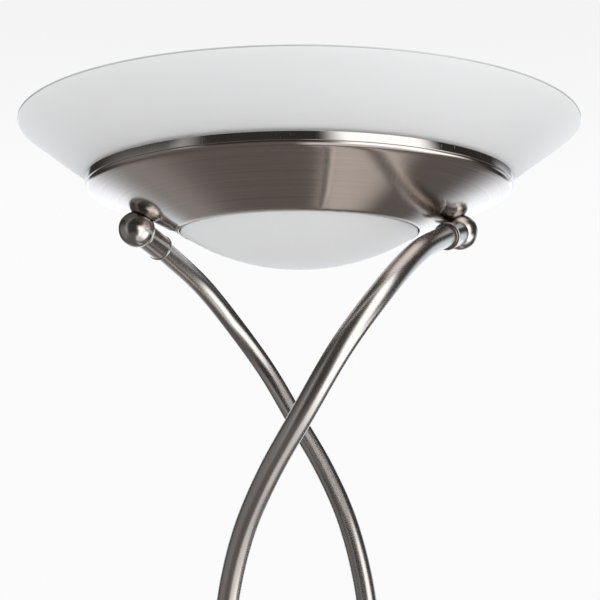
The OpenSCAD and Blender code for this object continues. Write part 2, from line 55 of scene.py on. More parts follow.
glass_low, glass_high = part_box("glass_shade")
ring_low, ring_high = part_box("rim_ring")
dish_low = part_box("dish")[0]
cover_low, cover_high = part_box("base_cover")

LAMP_H = glass_high.z
SHADE_R = glass_high.x
SHADE_WALL = 4 * MM
SHADE_HOLE_R = 131 * MM
SHADE_SLOPE = math.radians(36)

RING_R = ring_high.x
RING_TOP = ring_high.z
RING_H = RING_TOP - ring_low.z
NECK_R = RING_R - 2.4 * MM

OPENING_R = 87 * MM
OPENING_Z = dish_low.z
DISH_SLOPE = math.radians(23.5)
DISH_SHEET = 1.2 * MM
SHEET_V = DISH_SHEET / math.cos(DISH_SLOPE)
WALL_TOP_R = 149 * MM
WALL_TOP_Z = OPENING_Z + (WALL_TOP_R - OPENING_R) * math.tan(DISH_SLOPE)
FLANGE_TOP_Z = OPENING_Z + 6.4 * MM

DOME_R = 160 * MM
DOME_WALL = 3 * MM
DOME_NECK_R = OPENING_R - 2.2 * MM
DOME_TOP_Z = OPENING_Z - 0.4 * MM

ARM_TURN = math.radians(3)
BALL_R = 13 * MM
BALL_REACH = 116 * MM
BALL_Z = LAMP_H - 70.8 * MM
BALL_FLAT = (OPENING_Z + (BALL_REACH - OPENING_R) * math.tan(DISH_SLOPE) - BALL_Z) * math.cos(DISH_SLOPE)
COLLAR_R = 9.3 * MM
COLLAR_END = 35 * MM
TUBE_R = 7.5 * MM
TUBE_BORE_R = 6.3 * MM
COUPLING_RING = 5 * MM

# The lowest point of the bridge, which the leads in the head are placed from
BRIDGE_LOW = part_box("bridge")[0].z
LAMP_Z = LAMP_H - 36 * MM

BASE_R = cover_high.x
BASE_H = cover_high.z
SOCKET_REACH = 95 * MM
SOCKET_SHIFT = 5 * MM
SOCKET_R = 14 * MM
BUTTON_Y = -96 * MM
INLET_Z = 12.5 * MM

# The arm's path: listed points [x, y, depth below the glass rim] in millimetres, as in the CAD source
START_DIR = Vector((-0.385, -0.89, -0.24)).normalized()
END_DIR = Vector((0, 0, -1))
BALL_AT = Vector((BALL_REACH * math.cos(ARM_TURN), BALL_REACH * math.sin(ARM_TURN), BALL_Z))
DROPS = (
    (97, -38, 83), (74, -85, 102), (53, -113, 127), (26, -125, 164), (3, -115, 203),
    (-19, -92, 241), (-36, -64, 280), (-47, -40, 325), (-51, -13, 400), (-49, 14, 500),
    (-37, 38, 620), (-14, 50, 750), (18, 50, 900), (48, 38, 1080), (72, 22, 1280),
    (88, 10, 1480),
)
ROUTE = (
    [BALL_AT + START_DIR * COLLAR_END]
    + [Vector((x * MM, y * MM, LAMP_H - d * MM)) for x, y, d in DROPS]
    + [Vector((SOCKET_REACH, SOCKET_SHIFT, z)) for z in (180 * MM, 90 * MM, BASE_H + 3 * MM)]
)
# The point of the route where the coupling sits, and the steps between two points
SPLIT = 13
SUBSTEPS = 12

# ----------------------------------------------------------------------------------------------------
# Mesh tools
# ----------------------------------------------------------------------------------------------------


def arc(centre, radius, start, end, steps):
    """Points on an arc, angles in degrees, ends included."""
    points = []
    for i in range(steps + 1):
        a = math.radians(start + (end - start) * i / steps)
        points.append((centre[0] + radius * math.cos(a), centre[1] + radius * math.sin(a)))
    return points


def mark_sharp(work, angle):
    """Smooth faces, with every edge sharper than the angle kept crisp."""
    limit = math.radians(angle)
    for face in work.faces:
        face.smooth = True
    for edge in work.edges:
        edge.smooth = len(edge.link_faces) != 2 or edge.calc_face_angle(0) < limit


def make_object(name, vertices, faces, uvs=None, sharp=35.0):
    """A smooth mesh object with UVs per face corner; edges sharper than the angle stay crisp."""
    mesh = bpy.data.meshes.new(name)
    mesh.from_pydata([tuple(v) for v in vertices], [], faces)
    if uvs is not None:
        layer = mesh.uv_layers.new(name="UVMap")
        flat = [c for face in uvs for uv in face for c in uv]
        layer.data.foreach_set("uv", flat)
    work = bmesh.new()
    work.from_mesh(mesh)
    bmesh.ops.remove_doubles(work, verts=work.verts, dist=1e-7)
    bmesh.ops.dissolve_degenerate(work, edges=work.edges, dist=1e-7)
    bmesh.ops.recalc_face_normals(work, faces=work.faces)
    mark_sharp(work, sharp)
    work.to_mesh(mesh)
    work.free()
    piece = bpy.data.objects.new(name, mesh)
    bpy.context.scene.collection.objects.link(piece)
    return piece


def revolve(name, profile, place=None, steps=192, sharp=35.0):
    """A closed profile of (radius, height) points turned about Z, then placed by a matrix."""
    count = len(profile)
    length = [0.0]
    for i in range(count):
        a, b = profile[i], profile[(i + 1) % count]
        length.append(length[-1] + math.hypot(b[0] - a[0], b[1] - a[1]))
    widest = max(r for r, z in profile)
    vertices = []
    for j in range(steps):
        a = 2 * math.pi * j / steps
        vertices.extend((r * math.cos(a), r * math.sin(a), z) for r, z in profile)
    faces, uvs = [], []
    for j in range(steps):
        k = (j + 1) % steps
        u0 = 2 * math.pi * widest * j / steps
        u1 = 2 * math.pi * widest * (j + 1) / steps
        for i in range(count):
            m = (i + 1) % count
            if profile[i][0] < 1e-9 and profile[m][0] < 1e-9:
                continue
            faces.append((j * count + i, k * count + i, k * count + m, j * count + m))
            uvs.append(((u0, length[i]), (u1, length[i]), (u1, length[i + 1]), (u0, length[i + 1])))
    piece = make_object(name, vertices, faces, uvs, sharp)
    if place is not None:
        piece.data.transform(place)
    return piece


def frame_on(direction, origin):
    """A matrix whose +Z runs along a direction from an origin."""
    z = Vector(direction).normalized()
    x = Vector((0, 0, 1)).cross(z)
    x = Vector((1, 0, 0)) if x.length < 1e-6 else x.normalized()
    y = z.cross(x)
    matrix = Matrix((x, y, z)).transposed().to_4x4()
    matrix.translation = origin
    return matrix


def half_turn(side):
    """The left side's pieces are the right side's, half a turn round Z."""
    return Matrix.Rotation(0 if side > 0 else math.pi, 4, "Z")


def path_slopes(points, start, end):
    """Directions at a path's points: given at the ends, else the slope of a parabola through three."""
    slopes = [start]
    for before, here, after in zip(points, points[1:], points[2:]):
        a, b = here - before, after - here
        la, lb = a.length, b.length
        slopes.append((a * (lb / la) + b * (la / lb)) / (la + lb))
    slopes.append(end)
    return slopes


def smooth_path(points, start, end, steps):
    """Stations (place, direction) along a cubic through the points."""
    slopes = path_slopes(points, start, end)
    stations = []
    for i in range(len(points) - 1):
        p, q = points[i], points[i + 1]
        reach = (q - p).length
        a, b = slopes[i] * reach, slopes[i + 1] * reach
        for k in range(steps):
            t = k / steps
            u = 1 - t
            place = p * (u * u * (1 + 2 * t)) + a * (t * u * u) + q * (t * t * (3 - 2 * t)) - b * (t * t * u)
            along = (q - p) * (6 * t * u) + a * (u * (1 - 3 * t)) + b * (t * (3 * t - 2))
            stations.append((place, along.normalized()))
    stations.append((points[-1], slopes[-1].normalized()))
    return stations


def sweep(name, stations, loops, sides, sharp=35.0):
    """Walls round a path. A loop is a list of radii, one a station; two loops make a tube, one a rod."""
    side = Vector((0, 0, 1)).cross(stations[0][1])
    side = side.normalized() if side.length > 1e-6 else Vector((1, 0, 0))
    vertices, run, before = [], [], None
    for place, along in stations:
        side = (side - along * side.dot(along)).normalized()
        other = along.cross(side)
        run.append(0.0 if before is None else run[-1] + (place - before).length)
        before = place
        for loop in loops:
            radius = loop[len(run) - 1]
            for k in range(sides):
                a = 2 * math.pi * k / sides
                vertices.append(place + side * (radius * math.cos(a)) + other * (radius * math.sin(a)))
    faces, uvs = [], []
    width = sides * len(loops)
    around = 2 * math.pi * max(loops[0])
    for j in range(len(stations) - 1):
        for n in range(len(loops)):
            for k in range(sides):
                m = (k + 1) % sides
                a, b = j * width + n * sides, (j + 1) * width + n * sides
                faces.append((a + k, a + m, b + m, b + k))
                u0, u1 = around * k / sides, around * (k + 1) / sides
                uvs.append(((u0, run[j]), (u1, run[j]), (u1, run[j + 1]), (u0, run[j + 1])))
    for j in (0, len(stations) - 1):
        base = j * width
        if len(loops) == 1:
            faces.append(tuple(range(base, base + sides)))
            uvs.append(tuple((0.0, run[j]) for k in range(sides)))
        else:
            for k in range(sides):
                m = (k + 1) % sides
                faces.append((base + k, base + m, base + sides + m, base + sides + k))
                uvs.append(((0.0, run[j]),) * 4)
    return make_object(name, vertices, faces, uvs, sharp)


def even(radius, stations):
    return [radius] * len(stations)


def drilled(piece, holes, sharp=35.0):
    """Round holes cut through a piece; a hole is (matrix, radius, length), its axis the matrix's +Z."""
    work = bmesh.new()
    for place, radius, length in holes:
        shift = Matrix.Translation((0, 0, length / 2))
        bmesh.ops.create_cone(
            work, cap_ends=True, segments=64, radius1=radius, radius2=radius, depth=length,
            matrix=place @ shift,
        )
    mesh = bpy.data.meshes.new("holes")
    work.to_mesh(mesh)
    work.free()
    cutter = bpy.data.objects.new("holes", mesh)
    bpy.context.scene.collection.objects.link(cutter)
    modifier = piece.modifiers.new("holes", "BOOLEAN")
    modifier.operation, modifier.solver, modifier.object = "DIFFERENCE", "EXACT", cutter
    graph = bpy.context.evaluated_depsgraph_get()
    result = bpy.data.meshes.new_from_object(piece.evaluated_get(graph))
    piece.modifiers.clear()
    piece.data = result
    bpy.data.objects.remove(cutter)
    work = bmesh.new()
    work.from_mesh(result)
    mark_sharp(work, sharp)
    work.to_mesh(result)
    work.free()
    return piece


def finish_piece(piece, body, slot, replaced, *materials):
    """Materials, body and the CAD nodes that a piece stands for; the slot argument is not used."""
    for material in materials:
        piece.data.materials.append(material)
    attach(piece, body)
    if replaced:
        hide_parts(*replaced)
    return piece


# ----------------------------------------------------------------------------------------------------
# Materials
# ----------------------------------------------------------------------------------------------------


class Nodes:
    """Short calls to build one node material round one Principled shader."""

    def __init__(self, name, **values):
        self.material = bpy.data.materials.new(name)
        self.material.use_nodes = True
        self.tree = self.material.node_tree
        self.shader = self.tree.nodes["Principled BSDF"]
        for key, value in values.items():
            socket = self.shader.inputs[key.replace("_", " ")]
            if socket.type == "RGBA":
                value = (*value, 1.0)
            socket.default_value = value

    def add(self, kind, **settings):
        node = self.tree.nodes.new(kind)
        for key, value in settings.items():
            setattr(node, key, value)
        return node

    def link(self, source, target):
        self.tree.links.new(source, target)

    def coordinates(self, output, scale=(1, 1, 1)):
        place = self.add("ShaderNodeTexCoord")
        mapping = self.add("ShaderNodeMapping")
        mapping.inputs["Scale"].default_value = scale
        self.link(place.outputs[output], mapping.inputs["Vector"])
        return mapping.outputs["Vector"]

    def noise(self, vector, scale, detail, roughness):
        node = self.add("ShaderNodeTexNoise")
        node.inputs["Scale"].default_value = scale
        node.inputs["Detail"].default_value = detail
        node.inputs["Roughness"].default_value = roughness
        self.link(vector, node.inputs["Vector"])
        return node.outputs["Fac"]

    def ramp(self, factor, stops):
        """A colour ramp; a stop is (place, colour or grey value)."""
        node = self.add("ShaderNodeValToRGB")
        elements = node.color_ramp.elements
        while len(elements) < len(stops):
            elements.new(0.5)
        for element, (place, colour) in zip(elements, stops):
            element.position = place
            element.color = (*colour, 1.0) if isinstance(colour, tuple) else (colour, colour, colour, 1.0)
        self.link(factor, node.inputs["Fac"])
        return node.outputs["Color"]

    def span(self, value, low, high, from_low=0.0, from_high=1.0):
        """A value mapped from one range to another."""
        node = self.add("ShaderNodeMapRange")
        node.inputs["From Min"].default_value = from_low
        node.inputs["From Max"].default_value = from_high
        node.inputs["To Min"].default_value = low
        node.inputs["To Max"].default_value = high
        self.link(value, node.inputs["Value"])
        return node.outputs["Result"]

    def math(self, operation, a, b=None):
        node = self.add("ShaderNodeMath", operation=operation)
        for socket, value in zip(node.inputs, (a, b)):
            if isinstance(value, (int, float)):
                socket.default_value = value
            elif value is not None:
                self.link(value, socket)
        return node.outputs["Value"]

    def bump(self, height, strength, distance):
        node = self.add("ShaderNodeBump")
        node.inputs["Strength"].default_value = strength
        node.inputs["Distance"].default_value = distance
        self.link(height, node.inputs["Height"])
        self.link(node.outputs["Normal"], self.shader.inputs["Normal"])

    def put(self, source, name):
        self.link(source, self.shader.inputs[name])


def opal_glass():
    """White opal glass with an acid-matt skin. Its tone by height follows the shading in the photograph."""
    m = Nodes(
        "opal_glass", Roughness=0.42, IOR=1.5, Subsurface_Weight=0.35, Subsurface_Scale=0.012,
        Subsurface_Radius=(1.0, 0.95, 0.9), Specular_IOR_Level=0.4,
    )
    place = m.coordinates("Object")
    cloud = m.noise(place, 9.0, 3.0, 0.55)
    split = m.add("ShaderNodeSeparateXYZ")
    m.link(place, split.inputs["Vector"])
    fade = 100 * MM
    rise = m.span(split.outputs["Z"], 0.0, 1.0, LAMP_H - fade, LAMP_H)
    tone = m.math("ADD", rise, m.span(cloud, -0.03, 0.03, 0.3, 0.7))
    # Painted shade by height: the shade's glass is darker at its foot by the ring and lighter at its rim; the
    # dome under the dish gets a middle tone.
    dome, foot, rim = (0.85, 0.855, 0.86), (0.70, 0.705, 0.715), (0.935, 0.94, 0.95)
    m.put(m.ramp(tone, ((0.38, dome), (0.52, foot), (1.0, rim))), "Base Color")
    grain = m.noise(place, 900.0, 2.0, 0.6)
    m.put(m.span(grain, 0.38, 0.48), "Roughness")
    m.bump(grain, 0.05, 0.00005)
    return m.material


def glass_edge():
    """The fire-polished rim of the shade, where the glass shows grey."""
    m = Nodes("glass_edge", Roughness=0.18, IOR=1.5, Coat_Weight=0.5, Coat_Roughness=0.08)
    place = m.coordinates("Object")
    cloud = m.noise(place, 60.0, 3.0, 0.6)
    m.put(m.ramp(cloud, ((0.3, (0.56, 0.575, 0.58)), (0.7, (0.63, 0.645, 0.65)))), "Base Color")
    m.put(m.span(cloud, 0.12, 0.26), "Roughness")
    return m.material


def brushed_metal(name, colour, lines, dark, roughness, anisotropic, strength, tangent=None):
    """Satin or brushed metal; lines is the brushing's scale along and across the UV map, per metre."""
    m = Nodes(name, Metallic=1.0, Roughness=roughness, Anisotropic=anisotropic, Anisotropic_Rotation=0.25)
    fine = m.coordinates("UV", lines)
    brush = m.noise(fine, 1.0, 3.0, 0.65)
    patch = m.noise(m.coordinates("Object"), 35.0, 4.0, 0.6)
    low = tuple(c * dark for c in colour)
    m.put(m.ramp(brush, ((0.3, low), (0.7, colour))), "Base Color")
    both = m.math("ADD", m.math("MULTIPLY", brush, 0.7), m.math("MULTIPLY", patch, 0.3))
    m.put(m.span(both, roughness - 0.05, roughness + 0.05, 0.3, 0.7), "Roughness")
    m.bump(brush, strength, 0.00002)
    if tangent is not None:
        node = m.add("ShaderNodeTangent", direction_type="RADIAL", axis=tangent)
        m.link(node.outputs["Tangent"], m.shader.inputs["Tangent"])
    return m.material


def polished_metal():
    """The polished ring: bright, with fine scratches that cross it."""
    m = Nodes("polished_nickel", Metallic=1.0, Roughness=0.08)
    fine = m.coordinates("UV", (1400, 60, 1))
    scratch = m.noise(fine, 1.0, 2.0, 0.7)
    marks = m.ramp(scratch, ((0.62, 0.0), (0.72, 1.0)))
    wide = m.noise(m.coordinates("Object"), 40.0, 3.0, 0.6)
    m.put(m.ramp(wide, ((0.3, (0.50, 0.47, 0.45)), (0.7, (0.56, 0.53, 0.51)))), "Base Color")
    m.put(m.span(marks, 0.06, 0.32), "Roughness")
    m.bump(scratch, 0.08, 0.00002)
    return m.material


def plain_metal(name, colour, roughness):
    """Plated or turned metal with a fine grain and faint stains."""
    m = Nodes(name, Metallic=1.0, Roughness=roughness)
    grain, spread = 500.0, 0.08
    place = m.coordinates("Object")
    fine = m.noise(place, grain, 3.0, 0.6)
    stain = m.noise(place, 60.0, 4.0, 0.65)
    low = tuple(c * 0.82 for c in colour)
    m.put(m.ramp(stain, ((0.3, low), (0.7, colour))), "Base Color")
    m.put(m.span(fine, roughness - spread, roughness + spread), "Roughness")
    m.bump(fine, 0.12, 0.00003)
    return m.material


def cast_iron():
    m = Nodes("cast_iron", Metallic=0.6, Roughness=0.75)
    place = m.coordinates("Object")
    pits = m.noise(place, 450.0, 4.0, 0.7)
    m.put(m.ramp(pits, ((0.3, (0.05, 0.05, 0.05)), (0.7, (0.13, 0.125, 0.12)))), "Base Color")
    m.put(m.span(pits, 0.6, 0.9), "Roughness")
    m.bump(pits, 0.6, 0.0003)
    return m.material


def ceramic():
    m = Nodes("white_ceramic", Roughness=0.4, IOR=1.55, Coat_Weight=0.15, Coat_Roughness=0.3)
    place = m.coordinates("Object")
    cloud = m.noise(place, 120.0, 4.0, 0.6)
    m.put(m.ramp(cloud, ((0.3, (0.80, 0.78, 0.73)), (0.7, (0.88, 0.87, 0.83)))), "Base Color")
    grain = m.noise(place, 1500.0, 2.0, 0.5)
    m.put(m.span(grain, 0.34, 0.52), "Roughness")
    m.bump(grain, 0.1, 0.00004)
    return m.material


def dielectric(name, low, high, roughness, grain, strength=0.2):
    """Rubber, paint or moulded plastic: two near colours, a grain in gloss and height."""
    m = Nodes(name, Roughness=roughness)
    place = m.coordinates("Object")
    cloud = m.noise(place, grain * 0.1, 3.0, 0.6)
    fine = m.noise(place, grain, 3.0, 0.6)
    m.put(m.ramp(cloud, ((0.3, low), (0.7, high))), "Base Color")
    m.put(m.span(fine, roughness - 0.08, roughness + 0.08), "Roughness")
    m.bump(fine, strength, 0.00006)
    return m.material


def quartz():
    m = Nodes("quartz", Roughness=0.03, IOR=1.46, Transmission_Weight=1.0)
    place = m.coordinates("Object")
    cloud = m.noise(place, 30.0, 2.0, 0.5)
    m.put(m.ramp(cloud, ((0.3, (0.96, 0.98, 1.0)), (0.7, (1.0, 1.0, 1.0)))), "Base Color")
    m.put(m.span(cloud, 0.02, 0.05), "Roughness")
    return m.material


NICKEL = (0.59, 0.56, 0.535)
DISH_NICKEL = (0.62, 0.562, 0.527)
OPAL = opal_glass()
EDGE = glass_edge()
DISH_METAL = brushed_metal("brushed_nickel", DISH_NICKEL, (5, 1000, 1), 0.8, 0.15, 0.8, 0.1, tangent="Z")
TUBE_METAL = brushed_metal("satin_nickel", NICKEL, (2200, 260, 1), 0.93, 0.27, 0.0, 0.05)
TURNED_METAL = brushed_metal("satin_nickel_turned", NICKEL, (8, 4000, 1), 0.93, 0.22, 0.0, 0.06)
RING_METAL = polished_metal()
ZINC = plain_metal("zinc_steel", (0.66, 0.67, 0.68), 0.34)
BRASS = plain_metal("brass_fittings", (0.80, 0.63, 0.34), 0.28)
TUNGSTEN = plain_metal("tungsten", (0.28, 0.28, 0.29), 0.35)
IRON = cast_iron()
CERAMIC = ceramic()
SILICONE = dielectric("silicone", (0.74, 0.74, 0.71), (0.82, 0.82, 0.80), 0.45, 700.0)
PLATE_PAINT = dielectric("painted_plate", (0.018, 0.018, 0.018), (0.03, 0.03, 0.03), 0.5, 900.0, 0.4)
BLACK_RUBBER = dielectric("black_rubber", (0.015, 0.015, 0.015), (0.03, 0.03, 0.03), 0.75, 1200.0, 0.4)
BLACK_PLASTIC = dielectric("black_plastic", (0.02, 0.02, 0.02), (0.03, 0.03, 0.031), 0.42, 1500.0, 0.3)
QUARTZ = quartz()

# ----------------------------------------------------------------------------------------------------
# Head
# ----------------------------------------------------------------------------------------------------


def shade_glass():
    """The flared opal shade: a straight cone, its rim fire-polished and its foot ground flat."""
    slope = math.tan(SHADE_SLOPE)
    bottom = glass_low.z
    lift = SHADE_WALL / math.cos(SHADE_SLOPE)
    top = bottom + (SHADE_R - SHADE_HOLE_R) * slope
    rim_r = 0.35 * MM
    rim_in = rim_r * (1 + math.cos(SHADE_SLOPE)) / math.sin(SHADE_SLOPE)
    band = 1.3 * MM
    band_r = SHADE_R - band
    inside_r = SHADE_R - 7 * MM
    steps = 24
    outside = []
    for i in range(steps + 1):
        r = SHADE_HOLE_R + (band_r - SHADE_HOLE_R) * i / steps
        outside.append((r, bottom + (r - SHADE_HOLE_R) * slope))
    rim = arc((SHADE_R - rim_in, top - rim_r), rim_r, math.degrees(SHADE_SLOPE) - 90, 90, 6)
    inside = []
    for i in range(steps + 1):
        r = inside_r - (inside_r - SHADE_HOLE_R) * i / steps
        inside.append((r, bottom + lift + (r - SHADE_HOLE_R) * slope))
    profile = outside + rim + inside
    piece = revolve("shade_glass", profile, steps=256)
    finish_piece(piece, SHADE_BODY, "opal_glass", ["glass_shade"], OPAL, EDGE)
    lowest = top - band * slope
    for face in piece.data.polygons:
        if face.center.z > lowest:
            face.material_index = 1


def rim_ring():
    """The polished ring round the dish's neck, rounded at both edges."""
    r, low_r = 1.0 * MM, 0.5 * MM
    profile = (
        [(NECK_R + 0.02 * MM, RING_TOP - RING_H), (RING_R - low_r, RING_TOP - RING_H)]
        + arc((RING_R - low_r, RING_TOP - RING_H + low_r), low_r, -80, 0, 5)
        + arc((RING_R - r, RING_TOP - r), r, 0, 90, 7)
        + [(NECK_R + 0.02 * MM, RING_TOP)]
    )
    piece = revolve("rim_ring_turned", profile, steps=256)
    finish_piece(piece, FRAME_BODY, "polished_nickel", ["rim_ring"], RING_METAL)


def dish_spun():
    """The spun dish: neck, bead, straight conical wall and the rolled edge of its opening."""
    neck_low = RING_TOP - RING_H
    tan = math.tan(DISH_SLOPE)
    wall = []
    steps = 24
    for i in range(steps + 1):
        r = OPENING_R - 0.4 * MM + (WALL_TOP_R - OPENING_R + 0.4 * MM) * i / steps
        wall.append((r, OPENING_Z + max(0.0, r - OPENING_R) * tan))
    outside = wall + [
        (149.7 * MM, WALL_TOP_Z + 0.45 * MM), (NECK_R, WALL_TOP_Z + 0.9 * MM),
        (NECK_R + 0.5 * MM, WALL_TOP_Z + 1.4 * MM), (NECK_R + 0.9 * MM, WALL_TOP_Z + 2.0 * MM),
        (NECK_R + 1.05 * MM, neck_low - 0.1 * MM), (NECK_R, neck_low), (NECK_R, RING_TOP - 0.6 * MM),
    ]
    inside = [
        (NECK_R - 1 * MM, RING_TOP - 0.6 * MM),
        (NECK_R - 1 * MM, OPENING_Z + (NECK_R - 1 * MM - OPENING_R) * tan + SHEET_V),
        (OPENING_R + 1.6 * MM, OPENING_Z + 1.6 * MM * tan + SHEET_V),
        (OPENING_R + 0.4 * MM, OPENING_Z + 1.9 * MM), (OPENING_R, OPENING_Z + 2.6 * MM),
        (OPENING_R, FLANGE_TOP_Z),
    ]
    lip = [(OPENING_R - 1.2 * MM, FLANGE_TOP_Z), (OPENING_R - 1.2 * MM, OPENING_Z + 1.0 * MM)]
    lip += arc((OPENING_R - 0.4 * MM, OPENING_Z + 0.8 * MM), 0.8 * MM, 180, 262, 5)
    piece = revolve("dish_spun", outside + inside + lip, steps=256, sharp=40)
    finish_piece(piece, FRAME_BODY, "brushed_nickel", ["dish"], DISH_METAL)


def dome_glass():
    """The shallow opal dome under the dish, with its neck and the flange that hangs in the opening."""
    centre = DOME_TOP_Z + math.sqrt(DOME_R * DOME_R - DOME_NECK_R * DOME_NECK_R)
    neck_top = FLANGE_TOP_Z + 1.5 * MM
    half = math.degrees(math.asin(DOME_NECK_R / DOME_R))
    outer = arc((0, centre), DOME_R, -90, -90 + half, 40)
    neck_in = DOME_NECK_R - DOME_WALL
    inner_half = math.degrees(math.asin(neck_in / (DOME_R - DOME_WALL)))
    inner = arc((0, centre), DOME_R - DOME_WALL, -90 + inner_half, -90, 40)
    profile = (
        outer
        + [(DOME_NECK_R, neck_top), (DOME_NECK_R + 3 * MM, neck_top)]
        + arc((DOME_NECK_R + 2.5 * MM, neck_top + 1 * MM), 1 * MM, -80, 80, 6)
        + [(neck_in + 1 * MM, neck_top + 3 * MM), (neck_in, neck_top + 2 * MM)]
        + inner
    )
    piece = revolve("dome_glass", profile, steps=224, sharp=50)
    finish_piece(piece, FRAME_BODY, "opal_glass", ["lower_dome"], OPAL)


def silicone_rings():
    """The shade's seat and the dome's gasket."""
    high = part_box("shade_seat")[1]
    inner = SHADE_HOLE_R - 2 * MM
    outer = SHADE_HOLE_R + 3 * MM
    tan = math.tan(DISH_SLOPE)
    foot = OPENING_Z + SHEET_V + 0.15 * MM - OPENING_R * tan
    top_in = glass_low.z - 0.3 * MM
    profile = [
        (inner, foot + inner * tan), (outer, foot + outer * tan),
        (outer, high.z - 0.1 * MM), (outer - 0.3 * MM, high.z),
        (SHADE_HOLE_R + 0.2 * MM, top_in), (inner + 0.4 * MM, top_in), (inner, top_in - 0.4 * MM),
    ]
    seat = revolve("shade_seat_ring", profile, steps=160)
    finish_piece(seat, FRAME_BODY, "silicone", ["shade_seat"], SILICONE)
    low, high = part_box("dome_gasket")
    inner = DOME_NECK_R + 0.3 * MM
    outer = high.x
    c = 0.3 * MM
    profile = [
        (inner, low.z), (outer - c, low.z), (outer, low.z + c), (outer, high.z - c), (outer - c, high.z),
        (inner, high.z),
    ]
    gasket = revolve("dome_gasket_ring", profile, steps=160)
    finish_piece(gasket, FRAME_BODY, "silicone", ["dome_gasket"], SILICONE)


def at_ball(side):
    """Frame in a ball's middle, +Z through the dish wall and +X away from the lamp's axis."""
    turn = Matrix.Rotation(ARM_TURN, 4, "Z")
    place = Matrix.Translation((BALL_REACH, 0, BALL_Z))
    tilt = Matrix.Rotation(-DISH_SLOPE, 4, "Y")
    return half_turn(side) @ turn @ place @ tilt


def at_collar(side):
    """Frame in a ball's middle, +Z down the tube."""
    return half_turn(side) @ frame_on(START_DIR, BALL_AT)


def at_bridge():
    return Matrix.Rotation(ARM_TURN, 4, "Z")


def balls():
    """Each ball is turned, with a flat that seats on the dish wall and a fine chamfer round it."""
    flat_angle = math.degrees(math.asin(BALL_FLAT / BALL_R))
    chamfer = 2.0
    top = arc((0, 0), BALL_R, -90, flat_angle - chamfer, 56)
    flat_r = BALL_R * math.cos(math.radians(flat_angle)) - 0.35 * MM
    profile = top + [(flat_r, BALL_FLAT), (0.0, BALL_FLAT)]
    for name, side in SIDES:
        piece = revolve(f"ball_{name}_turned", profile, at_ball(side), steps=96)
        finish_piece(piece, FRAME_BODY, "satin_nickel", [f"ball_{name}"], TURNED_METAL)


def collars():
    """Turned collar: a bright chamfer at the ball, a plain barrel, a bead and a lip at the tube's end."""
    seat_z = math.sqrt(BALL_R ** 2 - COLLAR_R ** 2) + 0.1 * MM
    end = COLLAR_END
    inner = TUBE_R + 0.12 * MM
    bead_r = 0.8 * MM
    groove_r = COLLAR_R - 0.25 * MM
    profile = (
        [(TUBE_R - 0.5 * MM, seat_z + 1.6 * MM), (COLLAR_R - 0.8 * MM, seat_z + 0.5 * MM)]
        + [(COLLAR_R - 0.35 * MM, seat_z + 0.25 * MM), (COLLAR_R, seat_z + 0.7 * MM)]
        + [(COLLAR_R, end - 2.2 * MM), (groove_r, end - 2.0 * MM), (groove_r, end - 1.75 * MM)]
        + arc((COLLAR_R - 0.3 * MM, end - bead_r), bead_r, -75, 80, 9)
        + [(COLLAR_R - 1.0 * MM, end), (inner, end - 0.25 * MM), (inner, end - 6 * MM)]
    )
    for name, side in SIDES:
        piece = revolve(f"collar_{name}_turned", profile, at_collar(side), steps=96, sharp=30)
        finish_piece(piece, FRAME_BODY, "satin_nickel", [f"collar_{name}"], TURNED_METAL)


def half_stations(side, stations):
    turn = half_turn(side)
    return [(turn @ place, turn.to_3x3() @ along) for place, along in stations]


def arms():
    """Bent tubes swept along the arm's path, and the turned couplings between their halves."""
    stations = smooth_path(ROUTE, START_DIR, END_DIR, SUBSTEPS)
    middle = SPLIT * SUBSTEPS
    upper = [(BALL_AT + START_DIR * (COLLAR_END - 13.5 * MM), START_DIR)] + stations[:middle + 1]
    lower = list(stations[middle:])
    gap = COUPLING_RING / 2
    upper[-1] = (upper[-1][0] - upper[-1][1] * gap, upper[-1][1])
    lower[0] = (lower[0][0] + lower[0][1] * gap, lower[0][1])
    c = 0.5 * MM
    ring = (
        [(TUBE_BORE_R - 1 * MM, -gap - 8 * MM), (TUBE_BORE_R - 0.4 * MM, -gap - 7.4 * MM)]
        + [(TUBE_BORE_R - 0.4 * MM, -gap), (TUBE_R + 1 * MM - c, -gap), (TUBE_R + 1 * MM, -gap + c)]
        + [(TUBE_R + 1 * MM, gap - c), (TUBE_R + 1 * MM - c, gap), (TUBE_BORE_R - 0.4 * MM, gap)]
        + [(TUBE_BORE_R - 0.4 * MM, gap + 7.4 * MM), (TUBE_BORE_R - 1 * MM, gap + 8 * MM)]
    )
    for name, side in SIDES:
        for part, run in (("upper", upper), ("lower", lower)):
            line = half_stations(side, run)
            piece = sweep(f"{part}_tube_{name}_bent", line, [even(TUBE_R, line), even(TUBE_BORE_R, line)], 48)
            finish_piece(piece, FRAME_BODY, "satin_nickel", [f"{part}_tube_{name}"], TUBE_METAL)
        place = half_turn(side) @ frame_on(stations[middle][1], stations[middle][0])
        piece = revolve(f"coupling_{name}_turned", ring, place, steps=72)
        finish_piece(piece, FRAME_BODY, "satin_nickel", [f"coupling_{name}"], TURNED_METAL)


# ----------------------------------------------------------------------------------------------------
# Lamp and wiring
# ----------------------------------------------------------------------------------------------------


def smooth_rod(name, points, radius, sides=16, steps=10):
    """A round rod along a smooth curve whose ends run straight on."""
    start = (points[1] - points[0]).normalized()
    end = (points[-1] - points[-2]).normalized()
    line = smooth_path(points, start, end, steps)
    radii = even(radius, line)
    radii[0] = radii[-1] = radius * 0.8
    return sweep(name, line, [radii], sides, 50)


def joined(name, pieces):
    """Several meshes made into one piece."""
    work = bmesh.new()
    for piece in pieces:
        work.from_mesh(piece.data)
        bpy.data.objects.remove(piece)
    mesh = bpy.data.meshes.new(name)
    work.to_mesh(mesh)
    work.free()
    result = bpy.data.objects.new(name, mesh)
    bpy.context.scene.collection.objects.link(result)
    return result


def along_bridge(x, y, z):
    """A place in the bridge's turned frame, millimetres with z up from the lamp's axis."""
    return at_bridge() @ Vector((x * MM, y * MM, LAMP_Z + z * MM))


